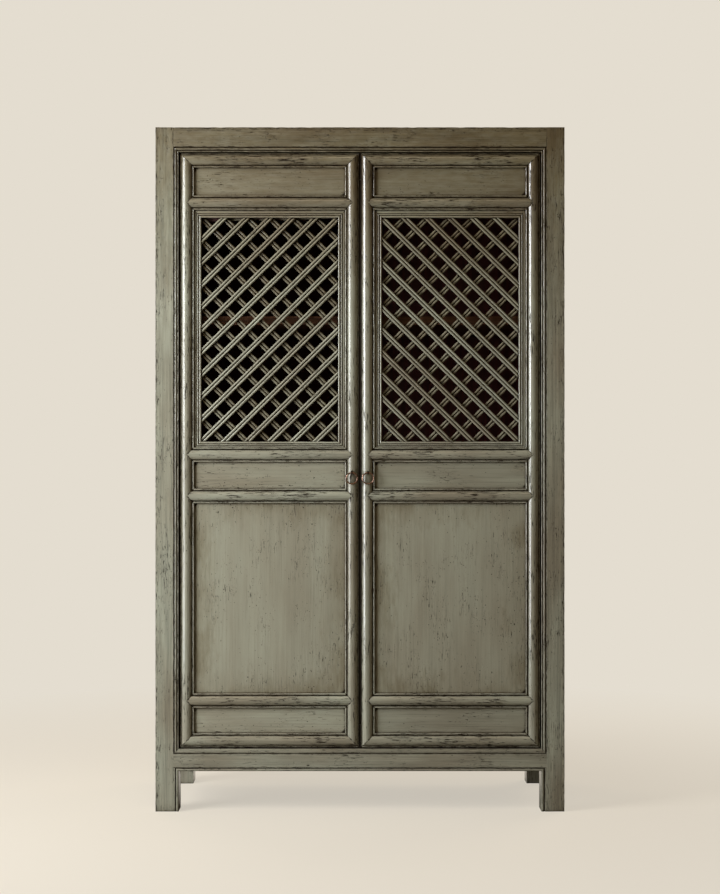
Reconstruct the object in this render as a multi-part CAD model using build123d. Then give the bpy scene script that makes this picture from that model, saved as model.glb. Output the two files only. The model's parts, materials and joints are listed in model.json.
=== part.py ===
"""A two-door book cabinet of frame-and-panel joinery, in millimetres.

Square posts run from the floor to the top. Rails are tenoned between them, and their beaded edges are
mitred at the corners. Panels float in grooves. Each door is a moulded frame with an open lattice above
and panels below, and turns on round pins cut on the ends of its outer stile. Each door carries a small
ring pull on a split staple.

X runs to the right, Y to the back and Z up. The origin is on the floor, in the middle of the four feet.
"""

from build123d import *
from math import atan2, hypot
import os

# Carcass
CABINET_WIDTH = 1100.0
CABINET_DEPTH = 480.0
CABINET_HEIGHT = 1840.0
POST_SIDE = 62.0
FOOT_HEIGHT = 108.5  # floor to the underside of the bottom rails
BOTTOM_RAIL_HEIGHT = 60.0
TOP_RAIL_HEIGHT = 66.0
RAIL_THICKNESS = 48.0
TENON_LENGTH = 30.0
TENON_THICKNESS = 14.0
TENON_SHOULDER = 12.0  # wood above and below a tenon
FRONT_TENON_DEPTH = 20.0  # face to tenon, on the front and back
SIDE_TENON_DEPTH = 6.0  # face to tenon, on the sides, clear of the front tenon in the post

# Beads worked on the carcass frame, from the opening outwards
INNER_BEAD_WIDTH = 3.4
INNER_BEAD_DROP = 4.6  # face to the foot of the inner bead
INNER_BEAD_RISE = 1.7
INNER_QUIRK_WIDTH = 1.8
OUTER_BEAD_WIDTH = 6.0
OUTER_BEAD_RISE = 2.6
OUTER_BEAD_DROP = 0.9  # face to the crown of the outer bead
GROOVE_WIDTH = 2.6
GROOVE_DEPTH = 4.2
FOOT_BEAD_WIDTH = 7.0  # single bead under the bottom front rail and down the legs
FOOT_BEAD_RISE = 2.4
SILL_BEAD_DROP = 3.0  # face to the top edge of the single bead under the doors
SILL_BEAD_RISE = 1.6
MITRE_DEPTH = 8.0  # thickness of the mitred ears on the carcass rails

# Panels of the carcass
PANEL_THICKNESS = 12.0
PANEL_SET_BACK = 9.0  # face of the frame to face of the panel
PANEL_TONGUE = 8.0
PANEL_EXPANSION = 1.5  # room left for a panel to swell in its groove
BOARD_THICKNESS = 16.0  # top and floor boards
BOARD_TONGUE_THICKNESS = 8.0
BACK_RAIL_HEIGHT = 56.0
BACK_RAIL_THICKNESS = 30.0
TOP_BATTEN_WIDTH = 40.0
TOP_BATTEN_HEIGHT = 24.0
TOP_BATTEN_SPACING = 340.0

# Shelves
SHELF_TOPS = {"upper_shelf": 1336.0, "middle_shelf": 905.0, "lower_shelf": 540.0}
SHELF_THICKNESS = 22.0
SHELF_SET_BACK = 50.0  # face of the cabinet to the front edge of a shelf
SHELF_CLEARANCE = 1.0
BEARER_WIDTH = 24.0
BEARER_HEIGHT = 30.0

# Door frame
DOOR_SET_BACK = 9.0  # face of the cabinet to the lip of the door
DOOR_THICKNESS = 28.0  # lip to back
HINGE_GAP = 3.0
MEETING_GAP = 3.5
DOOR_END_GAP = 2.5  # above and below a door
LIP_WIDTH = 3.2
LIP_QUIRK_WIDTH = 1.0
EDGE_ROUND_WIDTH = 27.6  # on the stiles and on the top and bottom rails
ROUND_WIDTH = 26.0  # on the rails between
ROUND_RISE = 8.0
QUIRK_WIDTH = 2.0
QUIRK_DEPTH = 1.8
BEAD_WIDTH = 4.8
BEAD_RISE = 2.0
EAR_DEPTH = 6.0  # thickness of the mitred points on the door rails
DOOR_TENON_LENGTH = 28.0
DOOR_TENON_THICKNESS = 9.0
DOOR_TENON_HEIGHT = 20.0
DOOR_TENON_DEPTH = 12.0  # lip to tenon

# Openings of a door, from the bottom up; the lattice takes what is left
BASE_OPENING = 67.7
MAIN_OPENING = 511.8
WAIST_OPENING = 71.3
FRIEZE_OPENING = 74.6
DOOR_PANEL_DROP = 4.5  # lip to the face of a panel
DOOR_PANEL_THICKNESS = 10.0
DOOR_PANEL_TONGUE = 7.0

# Lattice
LATTICE_SIDE_WIDTH = 18.3
LATTICE_TOP_WIDTH = 20.2
LATTICE_BOTTOM_WIDTH = 15.4
LATTICE_DROP = 3.0  # lip to the flat of the lattice frame
LATTICE_FRAME_THICKNESS = 21.0
LATTICE_RIDGE_WIDTHS = (5.0, 3.0)
LATTICE_RIDGE_RISE = 1.6
LATTICE_GROOVE_WIDTH = 2.2
LATTICE_GROOVE_DEPTH = 1.5
CELLS_ACROSS = 6
CELLS_HIGH = 10
BAR_WIDTH = 14.0
BAR_THICKNESS = 9.0
BAR_DROP = 4.0  # lip to the crown of the front bars
REED_RISE = 2.6
REED_GROOVE_WIDTH = 1.6
REED_GROOVE_DEPTH = 1.2

# Pivots and stops
PIN_DIAMETER = 14.0
PIN_LENGTH = 20.0
PIN_CLEARANCE = 0.08  # radial
SOCKET_CLEARANCE = 1.0  # beyond the end of the top pin
BOTTOM_PIN_CLEARANCE = 0.2  # under the bottom pin
PIVOT_DEPTH = 10.0  # lip to pivot axis
STOP_LENGTH = 120.0
STOP_HEIGHT = 14.0
STOP_CLEARANCE = 0.5  # door back to stop

# Ring pulls
PULL_HEIGHT = 911.5  # floor to the eye of the staple
PULL_FROM_EDGE = 20.0  # meeting edge of the door to the staple
RING_DIAMETER = 34.0
RING_WIRE = 4.0
STAPLE_WIRE = 2.6
STAPLE_EYE = 5.4  # inside diameter
STAPLE_SHANK = 5.0
STAPLE_BORE_CLEARANCE = 0.1  # radial
RING_PLAY = 0.3
EYE_STANDOFF = 0.5  # crown of the stile to the staple's eye
CLINCH_LENGTH = 13.0
CLINCH_THICKNESS = 1.8

CUT_OVERRUN = 20.0  # how far a cutter reaches past what it cuts

# Sizes that follow
half_width = CABINET_WIDTH / 2
half_depth = CABINET_DEPTH / 2
opening_half_width = half_width - POST_SIDE
side_half_span = half_depth - POST_SIDE
opening_bottom = FOOT_HEIGHT + BOTTOM_RAIL_HEIGHT
opening_top = CABINET_HEIGHT - TOP_RAIL_HEIGHT
frame_zone = INNER_BEAD_WIDTH + INNER_QUIRK_WIDTH + OUTER_BEAD_WIDTH + GROOVE_WIDTH
side_zone = OUTER_BEAD_WIDTH + GROOVE_WIDTH
foot_zone = FOOT_BEAD_WIDTH + GROOVE_WIDTH
back_rail_top = SHELF_TOPS["middle_shelf"] - SHELF_THICKNESS  # the middle shelf rests on this rail
back_rail_bottom = back_rail_top - BACK_RAIL_HEIGHT

door_width = (2 * opening_half_width - 2 * HINGE_GAP - MEETING_GAP) / 2
door_hinge_edge = -opening_half_width + HINGE_GAP
door_meeting_edge = -MEETING_GAP / 2
door_bottom = opening_bottom + DOOR_END_GAP
door_top = opening_top - DOOR_END_GAP
half_rail = BEAD_WIDTH + QUIRK_WIDTH + ROUND_WIDTH / 2  # panel edge to the crown of a rail
door_rail_width = 2 * half_rail
crown_from_edge = LIP_WIDTH + LIP_QUIRK_WIDTH + EDGE_ROUND_WIDTH / 2
stile_width = BEAD_WIDTH + QUIRK_WIDTH + EDGE_ROUND_WIDTH / 2 + crown_from_edge
panel_left = door_hinge_edge + stile_width
panel_right = door_meeting_edge - stile_width

# Faces of the cabinet. In each, the first axis runs across, the second up and the third out of the face.
FRONT = Plane(origin=(0, -half_depth, 0), x_dir=(1, 0, 0), z_dir=(0, -1, 0))
BACK = Plane(origin=(0, half_depth, 0), x_dir=(-1, 0, 0), z_dir=(0, 1, 0))
LEFT = Plane(origin=(-half_width, 0, 0), x_dir=(0, -1, 0), z_dir=(-1, 0, 0))
DOORS = Plane(origin=(0, -half_depth + DOOR_SET_BACK, 0), x_dir=(1, 0, 0), z_dir=(0, -1, 0))


# Tools for drawing


def block(low, high):
    """A block between two opposite corners."""
    size = [b - a for a, b in zip(low, high)]
    middle = [(a + b) / 2 for a, b in zip(low, high)]
    return Pos(*middle) * Box(*size)


def plate(points, low, high):
    """A plate whose outline is drawn across and up in a face's frame, from depth low to high."""
    corners = [b for a, b in zip(points[-1:] + points[:-1], points) if a != b]
    outline = make_face(Polyline(*corners, close=True))
    return extrude(Pos(0, 0, low) * outline, amount=high - low, dir=(0, 0, 1))


def moulding_edges(strokes, start):
    """Draws a moulding from its strokes: how far across, how far up, and the bulge of an arc."""
    edges = []
    here = start
    for across, up, bulge in strokes:
        there = (here[0] + across, here[1] + up)
        if bulge:
            crown = ((here[0] + there[0]) / 2, (here[1] + there[1]) / 2 + bulge)
            edges.append(ThreePointArc(here, crown, there))
        else:
            edges.append(Line(here, there))
        here = there
    return edges, here


def section(strokes, start_height, level):
    """The face between a moulding and a straight line at a level below or above it."""
    start = (0, start_height)
    edges, end = moulding_edges(strokes, start)
    edges += [Line(end, (end[0], level)), Line((end[0], level), (0, level)), Line((0, level), start)]
    return make_face(edges)


def run_up(face, inner, outward, low, high):
    """Sweeps a section up between two heights, its moulding starting at inner and going outward."""
    start = high if outward > 0 else low
    plane = Plane(origin=(inner, start, 0), x_dir=(outward, 0, 0), z_dir=(0, -outward, 0))
    return extrude(plane * face, amount=high - low, dir=(0, -outward, 0))


def run_across(face, inner, outward, left, right):
    """Sweeps a section across between two ends, its moulding starting at inner and going outward."""
    start = left if outward > 0 else right
    plane = Plane(origin=(start, inner, 0), x_dir=(0, outward, 0), z_dir=(outward, 0, 0))
    return extrude(plane * face, amount=right - left, dir=(outward, 0, 0))


def tenons(half_span, length, low, high, near, far):
    """The pair of tenons at a rail's two ends, between two heights and two depths."""
    ends = [block((s, low, near), (s + length, high, far)) for s in (half_span, -half_span - length)]
    return ends[0] + ends[1]


def mirrored(shape):
    """The same piece on the other side of the cabinet."""
    return mirror(shape, about=Plane.YZ)


# Mouldings of the carcass frame, as the waste above them, each from the opening outwards


def quirk(width, depth, climb=0.0):
    """A V groove that ends climb above where it starts."""
    return [(width / 2, -depth, 0), (width / 2, depth + climb, 0)]


def waste(strokes, drop):
    """The wood taken off above a moulding that starts drop below the face."""
    return section(strokes, -drop, CUT_OVERRUN)


def front_moulding():
    """Two beads stepping up to the face, with a groove outside them."""
    quirk_depth = INNER_BEAD_RISE
    outer_foot = OUTER_BEAD_RISE + OUTER_BEAD_DROP
    climb = INNER_BEAD_DROP - outer_foot
    strokes = [(INNER_BEAD_WIDTH, 0, INNER_BEAD_RISE), *quirk(INNER_QUIRK_WIDTH, quirk_depth, climb)]
    strokes += [(OUTER_BEAD_WIDTH, 0, OUTER_BEAD_RISE)]
    strokes += quirk(GROOVE_WIDTH, GROOVE_DEPTH - outer_foot, outer_foot)
    return waste(strokes, INNER_BEAD_DROP)


def single_bead(width, rise):
    """One bead level with the face, with a groove outside it."""
    strokes = [(width, 0, rise), *quirk(GROOVE_WIDTH, GROOVE_DEPTH - rise, rise)]
    return waste(strokes, rise)


def sill_moulding():
    """One wide bead that slopes up from the opening, with a groove outside it."""
    climb = SILL_BEAD_DROP - SILL_BEAD_RISE
    strokes = [(frame_zone - GROOVE_WIDTH, climb, SILL_BEAD_RISE)]
    strokes += quirk(GROOVE_WIDTH, GROOVE_DEPTH - SILL_BEAD_RISE, SILL_BEAD_RISE)
    return waste(strokes, SILL_BEAD_DROP)


# Carcass rails. Each is made in its face's frame, with the seat that its mitred ears take in the posts.


def rail_ears(half_span, low, high, ear, low_zone, high_zone):
    """The outline of a rail's face, with ears reaching over the posts' beads and mitred to them."""
    right = [
        (half_span, low),
        (half_span + (low_zone or ear), low + low_zone),
        (half_span + ear, low + low_zone),
        (half_span + ear, high - high_zone),
        (half_span + (high_zone or ear), high - high_zone),
        (half_span, high),
    ]
    return right + [(-x, y) for x, y in reversed(right)]


def carcass_rail(half_span, low, high, thickness, tenon_depth, ear=0.0, low_bead=None, high_bead=None):
    """A rail between two posts. A bead is a waste section and the width it takes."""
    low_zone = low_bead[1] if low_bead else 0.0
    high_zone = high_bead[1] if high_bead else 0.0
    rail = block((-half_span, low, -thickness), (half_span, high, 0))
    seat = None
    if ear:
        outline = rail_ears(half_span, low, high, ear, low_zone, high_zone)
        rail += plate(outline, -MITRE_DEPTH, 0)
        seat = plate(outline, -MITRE_DEPTH, CUT_OVERRUN)
    reach = half_span + ear + CUT_OVERRUN
    if low_bead:
        rail -= run_across(low_bead[0], low, 1, -reach, reach)
    if high_bead:
        rail -= run_across(high_bead[0], high, -1, -reach, reach)
    near, far = -tenon_depth - TENON_THICKNESS, -tenon_depth
    rail += tenons(half_span, TENON_LENGTH, low + TENON_SHOULDER, high - TENON_SHOULDER, near, far)
    return rail, seat


def front_rails():
    """The top and bottom rails of the front, beaded round the doors and along the underside."""
    beads = (front_moulding(), frame_zone)
    sill = (sill_moulding(), frame_zone)
    foot = (single_bead(FOOT_BEAD_WIDTH, FOOT_BEAD_RISE), foot_zone)
    top = carcass_rail(opening_half_width, opening_top, CABINET_HEIGHT, RAIL_THICKNESS,
                       FRONT_TENON_DEPTH, frame_zone, low_bead=beads)
    bottom = carcass_rail(opening_half_width, FOOT_HEIGHT, opening_bottom, RAIL_THICKNESS,
                          FRONT_TENON_DEPTH, frame_zone, low_bead=foot, high_bead=sill)
    return top, bottom


def side_rails():
    """The top and bottom rails of the left side, with a single bead round the panel."""
    bead = (single_bead(OUTER_BEAD_WIDTH, OUTER_BEAD_RISE), side_zone)
    top = carcass_rail(side_half_span, opening_top, CABINET_HEIGHT, RAIL_THICKNESS,
                       SIDE_TENON_DEPTH, side_zone, low_bead=bead)
    bottom = carcass_rail(side_half_span, FOOT_HEIGHT, opening_bottom, RAIL_THICKNESS,
                          SIDE_TENON_DEPTH, side_zone, high_bead=bead)
    return top, bottom


def back_rails():
    """The top, middle and bottom rails of the back, which are plain."""
    heights = {
        "top_back_rail": (opening_top, CABINET_HEIGHT, RAIL_THICKNESS),
        "back_middle_rail": (back_rail_bottom, back_rail_top, BACK_RAIL_THICKNESS),
        "bottom_back_rail": (FOOT_HEIGHT, opening_bottom, RAIL_THICKNESS),
    }
    rails = {}
    for name, (low, high, thickness) in heights.items():
        depth = min(FRONT_TENON_DEPTH, thickness - TENON_THICKNESS)
        rails[name] = carcass_rail(opening_half_width, low, high, thickness, depth)[0]
    return rails


# Panels and boards


def framed_panel(half_span, low, high, grow=0.0):
    """A panel with its edges in the grooves of the frame round it, in that face's frame."""
    reach = PANEL_TONGUE + grow
    near = -PANEL_SET_BACK - PANEL_THICKNESS
    return block((-half_span - reach, low - reach, near), (half_span + reach, high + reach, -PANEL_SET_BACK))


def board(top, grow=0.0):
    """A board level with the rails round it, notched round the posts, with a tongue in the rails."""
    x, y = half_width - RAIL_THICKNESS, half_depth - RAIL_THICKNESS
    reach = PANEL_TONGUE + grow
    bottom = top - BOARD_THICKNESS
    shape = block((-x, -y, bottom), (x, y, top))
    shape += block((-x - reach, -y - reach, bottom), (x + reach, y + reach, bottom + BOARD_TONGUE_THICKNESS))
    return shape


def notch_for_posts(shape, clearance):
    """Takes the corners out of a board where the posts stand."""
    x, y = opening_half_width - clearance, side_half_span - clearance
    for side_x in (-1, 1):
        for side_y in (-1, 1):
            low = (min(side_x * x, side_x * half_width), min(side_y * y, side_y * half_depth), 0)
            high = (max(side_x * x, side_x * half_width), max(side_y * y, side_y * half_depth), CABINET_HEIGHT)
            shape -= block(low, high)
    return shape


def shelf(top):
    """A shelf between the posts, widened behind the front posts to rest on its bearers."""
    front = -half_depth + SHELF_SET_BACK
    back = half_depth - PANEL_SET_BACK - PANEL_THICKNESS - SHELF_CLEARANCE
    side = half_width - PANEL_SET_BACK - PANEL_THICKNESS - SHELF_CLEARANCE
    shape = block((-side, front, top - SHELF_THICKNESS), (side, back, top))
    return notch_for_posts(shape, SHELF_CLEARANCE)


def bearers():
    """A pair of bearers for each shelf, between the posts and against the side panels."""
    outer = half_width - PANEL_SET_BACK - PANEL_THICKNESS
    pairs = []
    for top in SHELF_TOPS.values():
        high = top - SHELF_THICKNESS
        left = block((-outer, -side_half_span, high - BEARER_HEIGHT),
                     (-outer + BEARER_WIDTH, side_half_span, high))
        pairs += [left, mirrored(left)]
    return Compound(pairs)


def top_battens():
    """Battens across the underside of the top board."""
    y = half_depth - RAIL_THICKNESS
    high = CABINET_HEIGHT - BOARD_THICKNESS
    left = block((-TOP_BATTEN_SPACING / 2 - TOP_BATTEN_WIDTH / 2, -y, high - TOP_BATTEN_HEIGHT),
                 (-TOP_BATTEN_SPACING / 2 + TOP_BATTEN_WIDTH / 2, y, high))
    return Compound([left, mirrored(left)])


def door_stops():
    """Two blocks behind the meeting stiles, under the top rail and on the bottom rail."""
    front = -half_depth + DOOR_SET_BACK + DOOR_THICKNESS + STOP_CLEARANCE
    back = -half_depth + RAIL_THICKNESS
    top = block((-STOP_LENGTH / 2, front, opening_top - STOP_HEIGHT), (STOP_LENGTH / 2, back, opening_top))
    bottom = block((-STOP_LENGTH / 2, front, opening_bottom),
                   (STOP_LENGTH / 2, back, opening_bottom + STOP_HEIGHT))
    return Compound([top, bottom])


def pivot_sockets():
    """The holes for the left door's pins, in the rails above and below it."""
    radius = PIN_DIAMETER / 2 + PIN_CLEARANCE
    top_depth = PIN_LENGTH + SOCKET_CLEARANCE
    bottom_depth = PIN_LENGTH + BOTTOM_PIN_CLEARANCE
    top = Cylinder(radius, top_depth, align=(Align.CENTER, Align.CENTER, Align.MIN))
    bottom = Cylinder(radius, bottom_depth, align=(Align.CENTER, Align.CENTER, Align.MAX))
    x, y = pivot_place()
    return Pos(x, y, opening_top) * top + Pos(x, y, opening_bottom) * bottom


def pivot_place():
    """Where the left door's pivot axis stands on the plan."""
    return door_hinge_edge + crown_from_edge, -half_depth + DOOR_SET_BACK + PIVOT_DEPTH


def carcass():
    """Every fixed piece of the cabinet, by name."""
    (top_front, top_seat), (bottom_front, bottom_seat) = front_rails()
    (top_left, top_side_seat), (bottom_left, bottom_side_seat) = side_rails()
    plain = back_rails()
    back_spans = {
        "back_upper_panel": (back_rail_top, opening_top),
        "back_lower_panel": (opening_bottom, back_rail_bottom),
    }

    rails = {"top_front_rail": FRONT * top_front, "bottom_front_rail": FRONT * bottom_front}
    rails |= {name: BACK * rail for name, rail in plain.items()}
    rails |= {"top_left_rail": LEFT * top_left, "bottom_left_rail": LEFT * bottom_left}
    rails |= {"top_right_rail": mirrored(rails["top_left_rail"])}
    rails |= {"bottom_right_rail": mirrored(rails["bottom_left_rail"])}

    side_panel = LEFT * framed_panel(side_half_span, opening_bottom, opening_top)
    side_groove = LEFT * framed_panel(side_half_span, opening_bottom, opening_top, PANEL_EXPANSION)
    panels = {"left_side_panel": side_panel, "right_side_panel": mirrored(side_panel)}
    grooves = [side_groove, mirrored(side_groove)]
    for name, (low, high) in back_spans.items():
        panels[name] = BACK * framed_panel(opening_half_width, low, high)
        grooves.append(BACK * framed_panel(opening_half_width, low, high, PANEL_EXPANSION))
    for name, top in {"top_board": CABINET_HEIGHT, "floor_board": opening_bottom}.items():
        panels[name] = notch_for_posts(board(top), PANEL_EXPANSION)
        grooves.append(board(top, PANEL_EXPANSION))

    sockets = pivot_sockets()
    sockets += mirrored(sockets)
    rail_bodies = list(rails.values())
    for name in rails:
        for groove in grooves:
            rails[name] -= groove
        rails[name] -= sockets

    front_seats = [FRONT * top_seat, FRONT * bottom_seat]
    side_seats = [LEFT * top_side_seat, LEFT * bottom_side_seat]
    posts = {}
    for name, side in {"front_left_post": 1, "back_left_post": -1}.items():
        low = (-half_width, -half_depth if side > 0 else side_half_span, 0)
        high = (-opening_half_width, -side_half_span if side > 0 else half_depth, CABINET_HEIGHT)
        post = block(low, high)
        if side > 0:
            middle = (FOOT_HEIGHT + opening_bottom) / 2
            foot_bead = single_bead(FOOT_BEAD_WIDTH, FOOT_BEAD_RISE)
            upper = run_up(front_moulding(), -opening_half_width, -1, middle, CABINET_HEIGHT + CUT_OVERRUN)
            lower = run_up(foot_bead, -opening_half_width, -1, -CUT_OVERRUN, middle)
            post -= FRONT * upper
            post -= FRONT * lower
            for seat in front_seats:
                post -= seat
        bead = single_bead(OUTER_BEAD_WIDTH, OUTER_BEAD_RISE)
        edge = side_half_span * side
        post -= LEFT * run_up(bead, edge, side, (FOOT_HEIGHT + opening_bottom) / 2, CABINET_HEIGHT)
        for cutter in side_seats + rail_bodies + grooves[:-2]:
            post -= cutter
        posts[name] = post
        posts[name.replace("left", "right")] = mirrored(post)

    pieces = posts | rails | panels
    pieces |= {name: shelf(top) for name, top in SHELF_TOPS.items()}
    pieces |= {"shelf_bearers": bearers(), "top_battens": top_battens(), "door_stops": door_stops()}
    return pieces


# The left door, made in the frame of the doors' lips


def inner_moulding():
    """From the panel to the foot of the round: a bead and a quirk."""
    return [(BEAD_WIDTH, 0, BEAD_RISE), *quirk(QUIRK_WIDTH, QUIRK_DEPTH)]


def edge_section():
    """The section of a stile, or of the top or bottom rail, from the panel outwards."""
    strokes = inner_moulding() + [(EDGE_ROUND_WIDTH, 0, ROUND_RISE)]
    strokes += quirk(LIP_QUIRK_WIDTH, QUIRK_DEPTH / 2) + [(LIP_WIDTH, 0, 0)]
    return section(strokes, 0, -DOOR_THICKNESS)


def middle_section():
    """The section of a rail between two openings."""
    after = quirk(QUIRK_WIDTH, QUIRK_DEPTH) + [(BEAD_WIDTH, 0, BEAD_RISE)]
    strokes = inner_moulding() + [(ROUND_WIDTH, 0, ROUND_RISE)] + after
    return section(strokes, 0, -DOOR_THICKNESS)


def door_levels():
    """The heights of each opening of the door, and of the middle of each rail between them."""
    openings = {}
    level = door_bottom + stile_width
    for name, height in {"base": BASE_OPENING, "main": MAIN_OPENING, "waist": WAIST_OPENING}.items():
        openings[name] = (level, level + height)
        level += height + door_rail_width
    frieze_top = door_top - stile_width
    openings["frieze"] = (frieze_top - FRIEZE_OPENING, frieze_top)
    openings["lattice"] = (level, frieze_top - FRIEZE_OPENING - door_rail_width)
    return openings


def door_tenons(low, high):
    """A door rail's two tenons, about the middle of its height."""
    middle = (low + high) / 2
    bottom, top = middle - DOOR_TENON_HEIGHT / 2, middle + DOOR_TENON_HEIGHT / 2
    near, far = -DOOR_TENON_DEPTH - DOOR_TENON_THICKNESS, -DOOR_TENON_DEPTH
    left = block((panel_left - DOOR_TENON_LENGTH, bottom, near), (panel_left, top, far))
    right = block((panel_right, bottom, near), (panel_right + DOOR_TENON_LENGTH, top, far))
    return left + right


def door_rail(bar, outline, low, high):
    """Cuts a swept bar to a rail: its face to an outline over the stiles, its body between them."""
    face = bar & plate(outline, -EAR_DEPTH, ROUND_RISE + CUT_OVERRUN)
    body = bar & block((panel_left, low, -DOOR_THICKNESS), (panel_right, high, ROUND_RISE + CUT_OVERRUN))
    rail = face + body + door_tenons(low, high)
    return rail, plate(outline, -EAR_DEPTH, ROUND_RISE + CUT_OVERRUN)


def pointed_rail(low, high):
    """A rail between two openings. Its round ends in points let into the stiles' rounds."""
    middle = (low + high) / 2
    bar = run_across(middle_section(), low, 1, panel_left - half_rail, panel_right + half_rail)
    outline = [(panel_left, low), (panel_right, low), (panel_right + half_rail, middle),
               (panel_right, high), (panel_left, high), (panel_left - half_rail, middle)]
    return door_rail(bar, outline, low, high)


def corner_rail(inner, outward):
    """The top or bottom rail, mitred to the stiles at the door's corners."""
    outer = inner + outward * stile_width
    bar = run_across(edge_section(), inner, outward, door_hinge_edge, door_meeting_edge)
    outline = [(panel_left, inner), (panel_right, inner), (door_meeting_edge, outer), (door_hinge_edge, outer)]
    return door_rail(bar, outline, min(inner, outer), max(inner, outer))


def door_panel(low, high, grow=0.0):
    """A door panel with its edges in the grooves of the frame."""
    reach = DOOR_PANEL_TONGUE + grow
    near = -DOOR_PANEL_DROP - DOOR_PANEL_THICKNESS
    return block((panel_left - reach, low - reach, near), (panel_right + reach, high + reach, -DOOR_PANEL_DROP))


def pivot_pins():
    """The round pins on the ends of the outer stile, in the cabinet's frame."""
    x, y = pivot_place()
    length = PIN_LENGTH + DOOR_END_GAP
    top = Cylinder(PIN_DIAMETER / 2, length, align=(Align.CENTER, Align.CENTER, Align.MIN))
    bottom = Cylinder(PIN_DIAMETER / 2, length, align=(Align.CENTER, Align.CENTER, Align.MAX))
    return Pos(x, y, door_top) * top + Pos(x, y, door_bottom) * bottom


# The lattice


def lattice_light(low, high):
    """The clear opening inside the lattice frame: left, right, bottom and top."""
    return (panel_left + LATTICE_SIDE_WIDTH, panel_right - LATTICE_SIDE_WIDTH,
            low + LATTICE_BOTTOM_WIDTH, high - LATTICE_TOP_WIDTH)


def lattice_section(width):
    """A ridged section for a lattice frame piece of a given width, from its opening outwards."""
    first, second = LATTICE_RIDGE_WIDTHS
    strokes = [(first, 0, LATTICE_RIDGE_RISE), *quirk(LATTICE_GROOVE_WIDTH, LATTICE_GROOVE_DEPTH)]
    strokes += [(second, 0, LATTICE_RIDGE_RISE), *quirk(LATTICE_GROOVE_WIDTH, LATTICE_GROOVE_DEPTH)]
    flat = width - first - second - 2 * LATTICE_GROOVE_WIDTH
    strokes += [(flat, 0, 0)]
    return section(strokes, -LATTICE_DROP, -LATTICE_DROP - LATTICE_FRAME_THICKNESS)


def lattice_frame(low, high):
    """Four ridged pieces, mitred at the corners of the light."""
    left, right, bottom, top = lattice_light(low, high)
    foot = min(LATTICE_BOTTOM_WIDTH, LATTICE_SIDE_WIDTH)
    head = min(LATTICE_TOP_WIDTH, LATTICE_SIDE_WIDTH)
    back, front = -LATTICE_DROP - LATTICE_FRAME_THICKNESS, CUT_OVERRUN

    def side(inner, outward):
        outer = inner + outward * LATTICE_SIDE_WIDTH
        outline = [(inner, bottom), (inner + outward * foot, bottom - foot), (outer, low),
                   (outer, high), (inner + outward * head, top + head), (inner, top)]
        bar = run_up(lattice_section(LATTICE_SIDE_WIDTH), inner, outward, low, high)
        return bar & plate(outline, back, front)

    def cross(inner, outward, width, mitre):
        outer = inner + outward * width
        outline = [(left, inner), (right, inner), (right + mitre, outer), (left - mitre, outer)]
        bar = run_across(lattice_section(width), inner, outward, left - mitre, right + mitre)
        return bar & plate(outline, back, front)

    return Compound([side(left, -1), side(right, 1), cross(top, 1, LATTICE_TOP_WIDTH, head),
                     cross(bottom, -1, LATTICE_BOTTOM_WIDTH, foot)])


def lattice_bars(low, high, slope, crown):
    """One layer of parallel double-reeded bars, cut to the light, their crowns at a given depth."""
    left, right, bottom, top = lattice_light(low, high)
    pitch_across, pitch_up = (right - left) / CELLS_ACROSS, (top - bottom) / CELLS_HIGH
    reed = (BAR_WIDTH - REED_GROOVE_WIDTH) / 2
    strokes = [(reed, 0, REED_RISE), *quirk(REED_GROOVE_WIDTH, REED_GROOVE_DEPTH), (reed, 0, REED_RISE)]
    face = Pos(-BAR_WIDTH / 2, 0) * section(strokes, crown - REED_RISE, crown - BAR_THICKNESS)
    length = hypot(pitch_across, pitch_up)
    along = (slope * pitch_across / length, pitch_up / length, 0)
    light = block((left, bottom, crown - BAR_THICKNESS), (right, top, crown))
    start = left if slope > 0 else right
    reach = hypot(right - left, top - bottom)
    bars = []
    for count in range(1 - CELLS_ACROSS, CELLS_HIGH):
        origin = (start, bottom + count * pitch_up, 0)
        plane = Plane(origin=origin, x_dir=(-along[1], along[0], 0), z_dir=along)
        bars.append((extrude(plane * face, amount=reach, both=True) & light).solids()[0])
    return Compound(bars)


# The ring pull


def pull_place():
    """Where the staple stands on the meeting stile, and its eye's distance out of the lip."""
    eye_radius = STAPLE_EYE / 2 + STAPLE_WIRE
    return door_meeting_edge - PULL_FROM_EDGE, PULL_HEIGHT, ROUND_RISE + EYE_STANDOFF + eye_radius


def staple():
    """A split staple: an eye outside, a shank through the stile, and two legs clinched behind."""
    x, height, out = pull_place()
    wire = STAPLE_WIRE / 2
    bend = STAPLE_EYE / 2 + wire
    eye = Pos(x, height, out) * Rot(0, 90, 0) * Torus(bend, wire)
    tip = out - bend
    shank_length = tip + DOOR_THICKNESS + CLINCH_THICKNESS
    shank = Pos(x, height, tip - shank_length) * Cylinder(
        STAPLE_SHANK / 2, shank_length, align=(Align.CENTER, Align.CENTER, Align.MIN))
    back = -DOOR_THICKNESS - CLINCH_THICKNESS
    legs = block((x - STAPLE_SHANK / 2, height - CLINCH_LENGTH, back),
                 (x + STAPLE_SHANK / 2, height + CLINCH_LENGTH, -DOOR_THICKNESS))
    return eye + shank + legs


def ring_drop():
    """How far the middle of the ring's wire hangs below the middle of the eye."""
    return STAPLE_EYE / 2 - RING_WIRE / 2 - RING_PLAY


def ring():
    """A plain ring hanging in the staple's eye."""
    x, height, out = pull_place()
    bend = (RING_DIAMETER - RING_WIRE) / 2
    return Pos(x, height - ring_drop() - bend, out) * Torus(bend, RING_WIRE / 2)


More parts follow.
